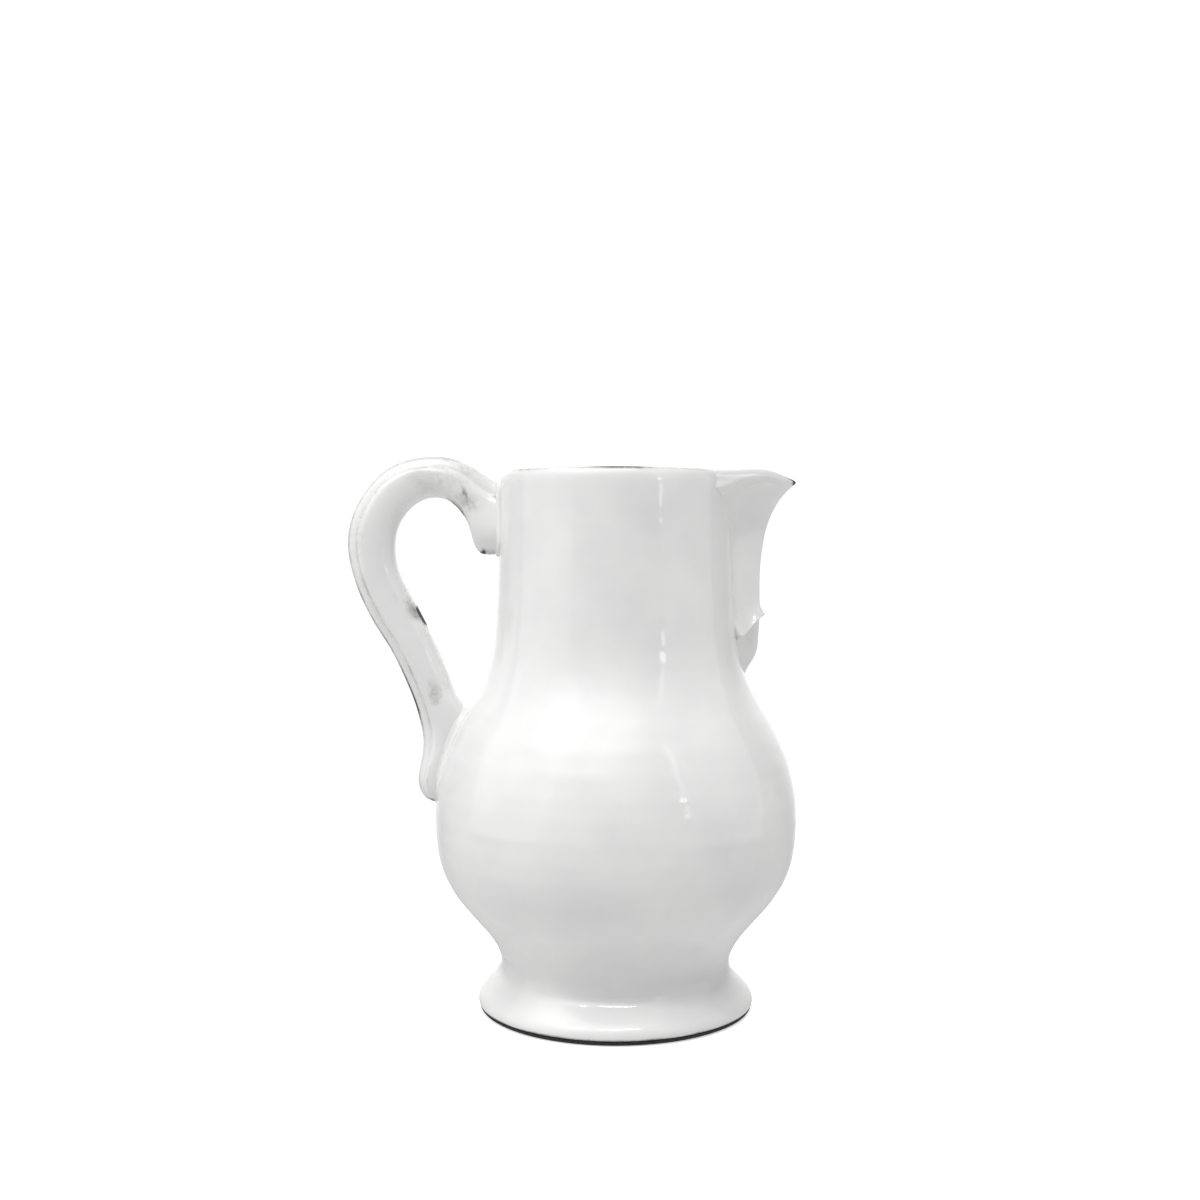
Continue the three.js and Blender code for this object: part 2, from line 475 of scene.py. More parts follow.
@dataclass(frozen=True)
class TinGlaze:
    """Milky tin glaze, poured over dark clay and fired glossy.

    The eye gets a soft opal white with a clear wet gloss over it, faint clouds where the coat pooled,
    near-black clay where it ran thin over an edge, and grey painted shade along the handle's groove.
    """

    thick: str = "#f4f4f3"
    pooled: str = "#e9eae9"
    veil_and_groove_shade: str = "#a9a6a2"
    clay: str = "#1d1b1a"
    cloud_mm: float = 38.0
    fleck_mm: float = 2.6
    grain_mm: float = 0.9
    peel_mm: float = 7.0
    peel_depth_mm: float = 0.035
    roughness: float = 0.075
    clay_roughness: float = 0.62

    def material(self) -> Material:
        """Builds the finish."""
        material, tree = new_material("tin_glaze_over_dark_clay")
        place = add(tree, "TexCoord").outputs["Object"]
        # the attribute holds the glaze's thinness, and on the handle a grey line of painted shade in the
        # groove
        thinness_and_groove_shade = add(tree, "Attribute", {"attribute_name": "glaze_thin"}).outputs["Fac"]
        clouds = speckle(tree, place, self.cloud_mm, 3.0, 0.55)
        flecks = speckle(tree, place, self.fleck_mm, 5.0, 0.7)
        grain = speckle(tree, place, self.grain_mm, 2.0, 0.6)
        cloudy = add(tree, "MapRange", value=clouds, from_min=0.35, from_max=0.7).outputs["Result"]
        body = blended(tree, cloudy, linear(self.thick), linear(self.pooled))
        ragged = reckoned(tree, "MULTIPLY_ADD", flecks, 0.8, -0.4)
        broken = reckoned(tree, "ADD", thinness_and_groove_shade, ragged)
        gritty = reckoned(tree, "MULTIPLY_ADD", grain, 0.3, broken)
        covered = eased(tree, thinness_and_groove_shade, 0.02, 0.3)
        # veil grey and bare clay follow the glaze's thinness, and on the handle's groove they are painted
        # shade
        veil_and_shade_share = reckoned(tree, "MULTIPLY", eased(tree, gritty, 0.2, 1.05), covered)
        bared = reckoned(tree, "MULTIPLY", eased(tree, gritty, 0.82, 1.2), covered)
        greyed = blended(tree, veil_and_shade_share, body, linear(self.veil_and_groove_shade))
        colour = blended(tree, bared, greyed, linear(self.clay))
        rough = add(tree, "MapRange", value=bared, to_min=self.roughness,
                    to_max=self.clay_roughness).outputs["Result"]
        peel = speckle(tree, place, self.peel_mm, 2.0, 0.5)
        bump = add(tree, "Bump", strength=1.0, distance=self.peel_depth_mm * MM, height=peel)
        shader = add(
            tree, "BsdfPrincipled", base_color=colour, roughness=rough, ior=1.5,
            normal=bump.outputs["Normal"],
        )
        add(tree, "OutputMaterial", surface=shader.outputs["BSDF"])
        return material


@dataclass(frozen=True)
class BareClay:
    """Near-black earthenware, wiped clean of glaze and left as fired.

    The eye gets a dull, slightly sandy dark line under the gloss.
    """

    dark: str = "#1c1a19"
    light: str = "#4a4541"
    sand_mm: float = 0.8
    sand_depth_mm: float = 0.08
    roughness: float = 0.82

    def material(self) -> Material:
        """Builds the finish."""
        material, tree = new_material("bare_dark_clay")
        place = add(tree, "TexCoord").outputs["Object"]
        sand = speckle(tree, place, self.sand_mm, 4.0, 0.7)
        share = add(tree, "MapRange", value=sand, from_min=0.45, from_max=0.75).outputs["Result"]
        colour = blended(tree, share, linear(self.dark), linear(self.light))
        bump = add(tree, "Bump", strength=1.0, distance=self.sand_depth_mm * MM, height=sand)
        shader = add(
            tree, "BsdfPrincipled", base_color=colour, roughness=self.roughness, ior=1.45,
            normal=bump.outputs["Normal"],
        )
        add(tree, "OutputMaterial", surface=shader.outputs["BSDF"])
        return material


# ---- the thrown body ----


@dataclass
class ThrownBody:
    """Belly, shoulder and neck, thrown in one, with a V cut through the neck behind the spout."""

    base_z: float = 20.6
    rim_z: float = 225.3
    wall: float = 5.2
    floor_z: float = 27.5
    # what lies further out than this is wall, not floor
    wall_from: float = 30.0
    # height, outside radius
    outline: Pairs = (
        (20.6, 47.8), (27.0, 50.2), (36.0, 56.6), (46.5, 65.6), (60.0, 73.1), (74.0, 75.5),
        (88.0, 75.4), (104.0, 72.1), (120.0, 65.1), (135.0, 56.5), (149.0, 51.6), (165.0, 49.8),
        (185.0, 49.0), (205.0, 48.7), (223.0, 48.5),
    )
    steps: int = 144
    notch_base_z: float = 188.0
    notch_columns: int = 2
    # height, half angle of the cut in degrees
    notch_halves: Pairs = (
        (188.0, 5.0), (194.0, 7.0), (202.0, 10.4), (208.0, 16.7), (214.0, 23.5), (220.0, 28.6),
        (226.0, 31.5),
    )
    skin: Spline = field(init=False)
    notch: Spline = field(init=False)

    def __post_init__(self) -> None:
        """Fits the outside and the notch."""
        self.skin = Spline(*zip(*self.outline))
        self.notch = Spline(*zip(*self.notch_halves))

    def radius(self, height: float) -> float:
        """Gives the outside radius at a height."""
        return self.skin.at(height)

    def profile(self) -> list[tuple[float, float]]:
        """Gives the wall's outline, from the middle of the base up, over the lip and down inside.

        Returns:
            Radius and height of each point.
        """
        belly = [self.base_z + i * 3.1 for i in range(54)]
        neck = [self.notch_base_z + i * 2.9 for i in range(12)]
        outer = [(self.radius(z), z) for z in [*belly, *neck]]
        lip_z = neck[-1]
        middle = self.radius(lip_z) - self.wall / 2
        lip = []
        for i in range(1, 8):
            angle = math.pi * i / 8
            lip.append((middle + math.cos(angle) * self.wall / 2,
                        lip_z + math.sin(angle) * (self.rim_z - lip_z)))
        inner = []
        for radius, z in reversed(outer):
            slope = (self.radius(z + 1) - self.radius(z - 1)) / 2
            length = math.hypot(1, slope)
            inner.append((radius - self.wall * length, z))
        inside = [point for point in inner if point[1] > self.floor_z + 5]
        corner = inside[-1][0]
        floor = [(corner - 4.5, self.floor_z + 2.0), (corner - 11.0, self.floor_z + 0.3),
                 (24.0, self.floor_z), (12.0, self.floor_z - 0.2), (0.0, self.floor_z - 0.2)]
        base = [(0.0, self.base_z), (20.0, self.base_z), (40.0, self.base_z)]
        return [*base, *outer, *lip, *inside, *floor]

    def cut_notch(self, bm: BMesh) -> None:
        """Opens the V behind the spout and closes its cheeks and sill.

        Args:
            bm: The spun wall.
        """
        start = math.radians(360 / self.steps * self.notch_columns)

        def turn(vert: BMVert) -> float:
            """Gives the corner's angle round the throwing axis."""
            return math.atan2(vert.co.y, vert.co.x)

        doomed = []
        for face in bm.faces:
            middle = face.calc_center_median()
            away = abs(math.atan2(middle.y, middle.x))
            if middle.z > self.notch_base_z and away < start and middle.xy.length > self.wall_from:
                doomed.append(face)
        bmesh.ops.delete(bm, geom=doomed, context="FACES")
        edge_verts = {vert for edge in bm.edges if edge.is_boundary for vert in edge.verts}
        rows: dict[tuple[int, int], list[BMVert]] = {}
        for vert in edge_verts:
            key = (round(math.degrees(turn(vert)) * 10), round(vert.co.z * 10))
            rows.setdefault(key, []).append(vert)
        pairs = [sorted(pair, key=lambda v: -v.co.xy.length) for pair in rows.values() if len(pair) == 2]
        across = {pair[0]: pair[1] for pair in pairs}
        for edge in [edge for edge in bm.edges if edge.is_boundary]:
            first, second = edge.verts
            if first in across and second in across:
                bm.faces.new((first, second, across[second], across[first]))
        fill_ends(bm)
        for vert in bm.verts:
            if vert.co.z <= self.notch_base_z or vert.co.xy.length < self.wall_from:
                continue
            angle = turn(vert)
            half = math.radians(self.notch.at(vert.co.z))
            away = abs(angle)
            if away <= start + 1e-4:
                away *= half / start
            else:
                away = mix(half, math.pi, (away - start) / (math.pi - start))
            away = math.copysign(away, angle)
            radius = vert.co.xy.length
            vert.co.x = radius * math.cos(away)
            vert.co.y = radius * math.sin(away)
        bmesh.ops.recalc_face_normals(bm, faces=bm.faces)
        crisp = [
            edge for edge in bm.edges
            if len(edge.link_faces) == 2 and edge.calc_face_angle(0) > math.radians(50)
            and edge.verts[0].co.z > self.notch_base_z - 1
        ]
        bmesh.ops.bevel(bm, geom=crisp, offset=1.3, segments=3, affect="EDGES", profile=0.5, material=-1)

    def throwing_rings(self, bm: BMesh) -> None:
        """Leaves the faint rings of the potter's fingers, strongest on the belly."""
        for vert in bm.verts:
            z = vert.co.z
            turns = math.atan2(vert.co.y, vert.co.x) / math.tau
            uneven = noise.noise(Vector((0.0, turns * 1.5, z / 17.0)))
            wave = math.sin(math.tau * (z / 8.6 + turns) + 2.6 * uneven)
            depth = 0.05 + 0.07 * smoothstep(30, 60, z) * (1 - smoothstep(110, 150, z))
            depth *= 1 - smoothstep(215, 222, z)
            radius = vert.co.xy.length
            if radius > self.wall_from:
                vert.co.xy *= 1 + depth * wave / radius

    def thin(self, point: Vector) -> float:
        """Gives how thin the glaze lies: it draws back from the crest of the lip, here and there."""
        turns = math.atan2(point.y, point.x)
        held = noise.noise(Vector((math.cos(turns), math.sin(turns), 4.0)) * 2.6)
        worn = math.exp(-((point.x / 17.0) ** 2)) if point.y < 0 else 0.0
        strength = min(max(0.45 + 0.6 * held + 0.8 * worn, 0.2), 1.3)
        return strength * math.exp(-(((point.z - self.rim_z) / 0.7) ** 2))

    def build(self, glaze: Material) -> None:
        """Throws the body and glazes it."""
        bm = spun(self.profile(), self.steps, closed=False)
        self.cut_notch(bm)
        self.throwing_rings(bm)
        finish_piece(bm, "thrown_body", glaze, Slot.GLAZE, ["body"], self.thin)


# ---- the foot ----


@dataclass
class PedestalFoot:
    """The flared foot, its bare standing edge and the slip that holds it to the body."""

    body: ThrownBody
    steps: int = 144
    # height, radius
    flare: Pairs = (
        (2.1, 57.4), (3.6, 57.85), (5.0, 57.65), (6.3, 57.0), (7.7, 55.8), (9.7, 53.8), (11.7, 51.8),
        (13.2, 50.35), (14.6, 49.25), (16.0, 48.6), (17.6, 48.2), (19.0, 48.0), (20.4, 47.9),
    )
    # radius, height
    hollow: Pairs = (
        (39.5, 20.0), (41.0, 13.5), (44.6, 8.0), (49.4, 2.1),
    )
    edge: Pairs = (
        (50.4, 0.15), (51.2, 0.0), (54.9, 0.0), (56.2, 0.35), (57.1, 1.1), (57.4, 2.0), (57.2, 2.5),
        (54.0, 2.7), (50.4, 2.5), (49.8, 1.6),
    )

    def thin(self, point: Vector) -> float:
        """Gives how thin the glaze lies: it was wiped off in a wavy line above the standing edge."""
        wave = 0.5 * noise.noise(Vector((point.x, point.y, 0)) / 9.0)
        return 1 - smoothstep(2.2, 3.6, point.z + wave)

    def pressed(self, bm: BMesh) -> BMesh:
        """Draws the cove higher where the thumb slipped, most under the handle, and gives the mesh back."""
        for vert in bm.verts:
            x, y, z = vert.co
            front = x / math.hypot(x, y)
            slipped = 1.7 * smoothstep(0.25, 1.0, -front) + 0.5 * smoothstep(0.4, 1.0, front)
            vert.co.z += slipped * smoothstep(5.0, 12.0, z) * (1 - smoothstep(17.0, 25.0, z))
        return bm

    def build(self, glaze: Material, clay: Material) -> None:
        """Turns the foot, its edge and its slip."""
        flare = Spline(*zip(*self.flare))
        heights = [2.1 + i * 0.72 for i in range(26)]
        skin = [(flare.at(z), z) for z in heights]
        top = [(45.0, 20.4), (41.5, 20.4)]
        foot = spun([*skin, *top, *Line(self.hollow).points(9)], self.steps, closed=True)
        finish_piece(self.pressed(foot), "pedestal_foot", glaze, Slot.GLAZE, ["foot"], self.thin)
        edge = spun(self.edge, self.steps, closed=True)
        finish_piece(edge, "bare_standing_edge", clay, Slot.CLAY, ["foot_standing_edge"], lambda _: 1.0)
        radius = self.body.radius
        heights = (16.0, 16.7, 17.5, 18.6, 20.0, 21.8, 23.6, 25.2, 27.0)
        radii = (flare.at(16.0) - 0.12, flare.at(16.7) + 0.02, flare.at(17.5) + 0.05, 48.15, 48.12, 48.3,
                 radius(23.6) + 0.06, radius(25.2) + 0.03, radius(27.0) - 0.12)
        cove = Spline(heights, radii)
        skin = [(cove.at(16 + i * 0.6875), 16 + i * 0.6875) for i in range(17)]
        slip = spun([*skin, (48.6, 26.6), (46.4, 21.0), (47.2, 16.4)], self.steps, closed=True)
        finish_piece(self.pressed(slip), "waist_slip", glaze, Slot.GLAZE, ["foot_slip_joint"])


# ---- the spout ----


@dataclass
class BeakSpout:
    """The beak, the collar pressed round its keel, the pointed tail and the slip at its root."""

    body: ThrownBody
    rim_z: float = 225.7
    # share of the way from the nose to the root, how far the rim dips there
    dips: Pairs = (
        (0.0, 4.5), (0.1, 3.9), (0.185, 3.15), (0.3, 1.8), (0.42, 0.55), (0.53, 0.05), (0.66, 0.0),
        (0.8, 0.45), (0.9, 0.5), (1.0, 0.3),
    )
    wall: float = 4.2
    channel_z: float = 186.0
    # the collar's lower edge on the keel and at the neck
    collar_keel_z: float = 164.8
    collar_root_z: float = 155.2
    tail_base_z: float = 139.0
    tail_top_z: float = 167.0
    tip: tuple[float, float, float] = (76.0, 0.0, 221.0)
    # height, reach of the nose, half angle of the root
    stations: Triples = (
        (138.0, 53.6, 1.5), (142.0, 55.0, 3.0), (148.0, 58.6, 6.0), (156.0, 60.1, 9.0),
        (164.0, 60.6, 10.0), (174.0, 60.6, 10.0), (184.0, 60.8, 10.5), (194.0, 61.9, 12.0),
        (202.0, 63.6, 15.5), (208.0, 65.9, 22.0), (214.0, 69.5, 28.2), (220.0, 75.0, 32.0),
        (227.0, 81.6, 34.2),
    )
    reach: Spline = field(init=False)
    half: Spline = field(init=False)
    dip: Spline = field(init=False)

    def __post_init__(self) -> None:
        """Fits the nose line and the root line."""
        heights, noses, halves = zip(*self.stations)
        self.reach = Spline(heights, noses)
        self.half = Spline(heights, halves)
        self.dip = Spline(*zip(*self.dips))

    def wall_point(self, side: float, z: float) -> Vector:
        """Gives a point on the spout's skin.

        Args:
            side: -1 at one root, 0 on the nose, 1 at the other root.
            z: Its height.

        Returns:
            The point.
        """
        radius = self.body.radius(z)
        angle = math.radians(self.half.at(z))
        root_x = radius * math.cos(angle) - 1.2
        root_y = radius * math.sin(angle)
        share = abs(side)
        blunt = 0.16
        bend = (math.hypot(share, blunt) - blunt) / (math.hypot(1, blunt) - blunt)
        hollow = 0.12 * smoothstep(192, 214, z) + 0.42 * (1 - smoothstep(150, 168, z))
        y = root_y * share * (1 - hollow * (1 - share) * 2)
        return Vector((mix(self.reach.at(z), root_x, bend), math.copysign(y, side), z))

    def outer(self, side: float, z: float, proud: float = 0.0) -> Vector:
        """Gives a point on the spout's skin or off it.

        Args:
            side: -1 at one root, 0 on the nose, 1 at the other root.
            z: Its height.
            proud: How far it stands out from the skin.

        Returns:
            The point.
        """
        point = self.wall_point(side, z)
        if proud:
            along = self.wall_point(min(side + 0.05, 1), z) - self.wall_point(max(side - 0.05, -1), z)
            point += Vector((along.y, -along.x, 0)).normalized() * proud
        return point

    def rolled(self, side: float, z: float, top: float) -> Vector:
        """Gives a point on the skin below the rim: rolled out at the lip and tucked in under it.

        Args:
            side: -1 at one root, 0 on the nose, 1 at the other root.
            z: Its height.
            top: The height of the rim there.

        Returns:
            The point.
        """
        share = abs(side)
        below = top - z
        roll = 0.8 * math.exp(-(((below - 1.0) / 1.3) ** 2))
        roll -= 0.9 * math.exp(-(((below - 6.0) / 3.8) ** 2))
        nose = 1 - smoothstep(0.0, 0.2, share)
        deep = mix(1.2, 6.6, smoothstep(0.48, 0.97, share))
        spread = mix(0.0, 6.4, smoothstep(0.46, 0.86, share)) * (1 - 0.45 * smoothstep(0.93, 1.0, share))
        flap = spread * smoothstep(-0.6, deep, below) * (1 - smoothstep(deep, deep + 3.0, below))
        point = self.outer(side, z)
        point.y += math.copysign(roll * smoothstep(0.0, 0.35, share) + flap, side)
        point.x += (0.3 + 0.3 * roll) * nose * smoothstep(12, 2, below) - 0.5 * flap
        return point

    def leaving(self, z: float) -> float:
        """Gives the share of the way from nose to root where the spout's wall leaves the neck."""
        low, high = 0.0, 1.0
        for _ in range(18):
            share = (low + high) / 2
            if self.wall_point(share, z).xy.length > self.body.radius(z):
                low = share
            else:
                high = share
        return low

    def inner(self, side: float, z: float) -> Vector:
        """Gives a point on the pouring channel, or inside the neck's wall below it."""
        radius = self.body.radius(z)
        angle = math.radians(self.half.at(z))
        share = abs(side)
        width = max(radius * math.sin(angle) - self.wall + 0.4, 1.0)
        root_x = radius * math.cos(angle) - 3.6
        opened = smoothstep(self.channel_z, self.channel_z + 20, z)
        thinned = mix(0.95, 0.6, smoothstep(212, 221, z))
        nose = mix(radius - 3.0, self.reach.at(z) - self.wall * thinned, opened)
        blunt = 0.22
        bend = (math.hypot(share, blunt) - blunt) / (math.hypot(1, blunt) - blunt)
        return Vector((mix(nose, root_x, bend), math.copysign(width * share, side), z))

    def rim(self, side: float) -> float:
        """Gives the rim's height: low at the neck, crowned, then dipping to the tip."""
        return self.rim_z - self.dip.at(abs(side))

    def collar_edge(self, side: float) -> float:
        """Gives the height of the collar's lower edge: it falls back from the keel to the neck."""
        return mix(self.collar_keel_z, self.collar_root_z, smoothstep(0.0, 1.0, abs(side)))

    def beak(self) -> BMesh:
        """Folds the beak, from inside the collar to its rounded rim."""
        straight = 50
        lip_rows = 7
        rows = straight + lip_rows
        sides = 28
        columns = 2 * sides + 2

        def place(across: float, up: float) -> Vector:
            """Gives a point of the folded slab: out over the skin, then back along the channel."""
            column = round(across * columns) % columns
            row = round(up * rows)
            on_skin = column <= sides
            side = (2 * column / sides - 1) if on_skin else 1 - 2 * (column - sides - 1) / sides
            roll = self.wall / 2 * mix(0.4, 1.0, smoothstep(0.0, 0.35, abs(side)))
            share = min(row / straight, 1.0)
            top = self.rim(side) - roll
            z = mix(self.collar_edge(side) + 2.2, top, 1 - (1 - share) ** 1.45)
            out, back = self.rolled(side, z, top), self.inner(side, z)
            point = out if on_skin else back
            if row > straight:
                angle = (row - straight) / lip_rows * math.pi / 2
                middle = (out + back) / 2
                point = middle + (point - middle) * math.cos(angle)
                point.z = top + roll * math.sin(angle)
            return point

        bm = warped_grid(columns, rows, place)
        fill_ends(bm)
        return bm

    def backed(self, skin: list[Vector], z: float, sunk: float) -> list[Vector]:
        """Closes a line across the spout's skin with three points sunk in the neck's wall."""
        depth = self.body.radius(z) - sunk
        y = skin[-1].y
        return [*skin, *(Vector((depth, y * (1 - 2 * back / 4), z)) for back in (1, 2, 3))]

    def collar(self) -> BMesh:
        """Presses the collar: it swells from the keel downwards and drops back under its edge."""
        # height above the collar's lower edge, how much of its full swell it stands out there
        drops = [12.0 - 1.15 * i for i in range(10)]
        swell = [(d, math.exp(-((d / 3.9) ** 2)) - 0.12 * smoothstep(7, 11, d)) for d in drops]
        swell += [(1.3, 0.98), (0.75, 0.93), (0.3, 0.81), (0.0, 0.62)]
        swell += [(-0.15, 0.36), (0.0, 0.05), (0.7, -0.6)]
        sides = 24
        sections = []
        for drop, share in swell:
            section = []
            for column in range(sides + 1):
                side = 2 * column / sides - 1
                stretch = mix(0.72, 1.35, abs(side))
                full = mix(2.5, 3.9, smoothstep(0.0, 0.4, abs(side)))
                section.append(self.outer(side, self.collar_edge(side) + drop * stretch, full * share))
            sections.append(self.backed(section, section[-1].z, 3.5))
        return loft(sections)

    def tail(self) -> BMesh:
        """Pinches the pointed tail below the collar."""
        rows = 20
        sides = 20
        sections = []
        for row in range(rows + 1):
            z = mix(self.tail_base_z, self.tail_top_z, row / rows)
            section = [self.outer(2 * column / sides - 1, z) for column in range(sides + 1)]
            sections.append(self.backed(section, z, 3.0))
        return loft(sections)

    def on_neck(self, turn: float, height: float, off: float) -> Vector:
        """Gives a point on the neck by its angle and height, moved off the skin."""
        out = self.body.radius(height) + off
        return Vector((out * math.cos(turn), out * math.sin(turn), height))

    def slip(self) -> BMesh:
        """Smooths slip into the corner down one root of the spout, round the tail's tip and up again."""
        count = 84
        sections = []
        for i in range(count + 1):
            share = 2 * i / count - 1
            hand = 1.0 if share >= 0 else -1.0
            z = mix(139.4, 221.6, abs(share) ** 1.15)
            turned = math.pi / 2 * (1 - smoothstep(0.0, 0.16, abs(share)))
            wide = mix(0.9, 1.5, smoothstep(0.0, 0.3, abs(share)))
            radius = self.body.radius(z)
            leaving = self.leaving(z)
            corner = self.wall_point(hand * leaving, z)
            angle = hand * math.atan2(abs(corner.y), corner.x)
            root = self.on_neck(angle, z, 0.05)
            neck_end = self.on_neck(angle + hand * wide * math.cos(turned) / radius,
                                    z - wide * math.sin(turned), -0.03)
            run = (self.outer(0, z) - self.outer(hand, z)).length
            inward = min(wide / run, 0.6 * leaving) * math.cos(turned)
            wall_end = self.outer(hand * (leaving - inward), z + wide * math.sin(turned), -0.03)
            sections.append([*soft_corner(neck_end, root, wall_end, 5), self.on_neck(angle, z, -1.6)])
        return loft(sections)

    def thin(self, point: Vector) -> float:
        """Gives how thin the glaze lies: bare at the sharp tip, thin on the crest behind it."""
        bare = 1.7 * (1 - smoothstep(1.4, 3.4, (point - Vector(self.tip)).length))
        crest_z = self.rim_z - 0.48 * max(point.x - 66, 0)
        line = 0.95 * smoothstep(64, 74, point.x) * (1 - smoothstep(0.4, 1.5, abs(point.z - crest_z)))
        return max(bare, line)

    def build(self, glaze: Material) -> None:
        """Builds the spout's four pieces."""
        finish_piece(self.beak(), "beak_spout", glaze, Slot.GLAZE, ["spout"], self.thin)
        finish_piece(self.collar(), "spout_collar_roll", glaze, Slot.GLAZE, ["spout_collar"])
        finish_piece(self.tail(), "spout_tail_drop", glaze, Slot.GLAZE, ["spout_tail"])
        finish_piece(self.slip(), "spout_slip_bead", glaze, Slot.GLAZE, ["spout_slip_joint"])


# ---- the handle ----


@dataclass(frozen=True)
class Rub:
    """A long spot where the glaze was rubbed thin before firing, seen along Y.

    It goes through the whole strap where its place has no Y, and is on that side alone where it has.
    """

    place: tuple[float, float, float]
    along: tuple[float, float, float]
    half_length: float
    half_width: float
    strength: float

    def depth(self, point: Vector) -> float:
        """Gives how thin the coat lies at a point."""
        if self.place[1] * point.y < 0:
            return 0.0
        away = Vector((point.x - self.place[0], 0, point.z - self.place[2]))
        way = Vector(self.along).normalized()
        length = away.dot(way)
        width = (away - way * length).length
        span = math.hypot(length / self.half_length, width / self.half_width)
        return self.strength * (1 - smoothstep(0.3, 1.0, span))


@dataclass
class StrapHandle:
    """The strap with its raised spine, and the slip round both of its roots."""

    body: ThrownBody
    # outer edge x and z, inner edge x and z, half width across Y
    stations: tuple[tuple[float, float, float, float, float], ...] = (
        (-43.5, 219.8, -43.5, 191.0, 10.6), (-49.6, 221.4, -50.6, 190.4, 10.8),
        (-53.8, 223.8, -55.9, 190.9, 10.6), (-58.8, 227.0, -59.0, 194.6, 10.4),
        (-64.3, 229.6, -60.9, 201.6, 10.3), (-71.4, 231.3, -64.4, 208.3, 10.3),
        (-78.6, 231.4, -70.2, 213.2, 10.4), (-86.5, 230.2, -78.0, 214.1, 10.5),
        (-94.3, 227.2, -84.6, 210.8, 10.6), (-101.2, 221.6, -88.8, 206.0, 10.7),
        (-107.4, 213.0, -91.3, 200.8, 10.8), (-111.0, 204.6, -92.2, 194.8, 10.9),
        (-112.3, 196.0, -92.0, 189.5, 11.0), (-111.3, 186.4, -90.7, 183.6, 11.0),
        (-107.5, 174.2, -87.3, 176.2, 10.9), (-101.2, 161.3, -81.6, 165.2, 10.8),
        (-94.9, 151.2, -76.4, 154.7, 10.7), (-89.4, 140.2, -71.4, 143.4, 10.5),
        (-85.2, 130.2, -67.2, 132.8, 10.3), (-82.5, 121.4, -62.8, 124.4, 10.2),
        (-81.0, 112.6, -63.0, 112.0, 10.4), (-81.9, 104.0, -68.0, 101.8, 10.8),
        (-83.1, 97.0, -70.5, 94.6, 10.4), (-82.4, 92.0, -71.5, 90.2, 9.0),
        (-80.2, 88.6, -73.0, 87.8, 6.4), (-77.5, 87.2, -75.0, 86.9, 3.2),
    )
    # half of the section: share from the outer edge to the inner edge, share of the half width
    section: Pairs = (
        (0.0, 0.0), (0.006, 0.14), (0.022, 0.28), (0.050, 0.40), (0.090, 0.49), (0.130, 0.55),
        (0.165, 0.585), (0.195, 0.605), (0.212, 0.645), (0.228, 0.73), (0.252, 0.83), (0.295, 0.915),
        (0.36, 0.965), (0.46, 0.985),
        (0.58, 0.965), (0.70, 0.915), (0.81, 0.835), (0.90, 0.71), (0.96, 0.52), (0.99, 0.28), (1.0, 0.0),
    )
    rubs: tuple[Rub, ...] = (
        Rub((-80.6, 0.0, 164.4), (6.4, 0.0, -10.9), 8.4, 1.7, 1.7),
        Rub((-83.6, -1.0, 166.4), (1.0, 0.0, -0.5), 5.0, 4.0, 0.66),
        Rub((-85.6, -1.0, 170.0), (0.6, 0.0, -1.0), 6.5, 2.6, 0.42),
        Rub((-75.4, -1.0, 133.4), (1.5, 0.0, -6.0), 8.4, 4.2, 0.46),
        Rub((-75.0, -1.0, 129.6), (1.0, 0.0, 0.2), 3.4, 1.8, 0.42),
        Rub((-62.2, -1.0, 216.0), (1.0, 0.0, 0.3), 2.2, 1.8, 0.85),
        Rub((-61.4, -1.0, 213.0), (1.0, 0.0, -0.5), 8.2, 5.6, 0.46),
        Rub((-65.5, 0.0, 209.6), (1.0, 0.0, -1.05), 8.5, 1.7, 1.0),
        Rub((-55.4, 0.0, 191.2), (1.0, 0.0, 0.1), 3.0, 1.3, 1.5),
        Rub((-51.5, 0.0, 191.2), (1.0, 0.0, 0.2), 4.0, 1.5, 0.6),
        Rub((-50.4, -1.0, 214.6), (0.0, 0.0, 1.0), 1.5, 0.9, 1.2),
        Rub((-77.6, 0.0, 87.8), (1.0, 0.0, -0.3), 4.5, 1.9, 0.9),
    )
    # y, height and radius of the slip round the lobe, from the top down one side
    upper_bead: Triples = (
        (0.0, 222.0, 1.6), (6.0, 221.8, 1.7), (9.2, 219.4, 1.8), (10.2, 212.0, 1.9),
        (11.2, 201.0, 1.9), (10.6, 194.2, 1.8), (6.5, 191.4, 1.6), (0.0, 191.0, 1.5),
    )
    # y, height and width of the slip round the tongue, from the top down one side
    lower_bead: Triples = (
        (0.0, 124.0, 4.3), (3.6, 123.6, 4.3), (6.6, 121.8, 4.1), (8.8, 117.6, 3.5),
        (9.8, 112.0, 2.8), (10.1, 104.0, 2.4), (9.7, 97.4, 2.1), (8.4, 92.0, 1.8),
        (6.0, 88.6, 1.5), (3.0, 87.0, 1.4), (0.0, 86.6, 1.4),
    )
    # the painted shade line in the groove beside the spine, by its way from the crest
    groove_shade_depth: float = 4.5
    groove_shade_half: float = 1.2
    rows: int = 100
    crest_marks: int = 260
    arris: list[Vector] = field(init=False)

    def __post_init__(self) -> None:
        """Marks points along the crest of the spine."""
        crest = Line([(station[0], station[1]) for station in self.stations])
        self.arris = [Vector((x, 0, z)) for x, z in crest.points(self.crest_marks)]

    def strap(self) -> BMesh:
        """Draws the strap through its stations."""
        shares = [i / (len(self.stations) - 1) for i in range(len(self.stations))]
        splines = [Spline(shares, values) for values in zip(*self.stations)]
        half = len(self.section) - 1
        columns = 2 * half

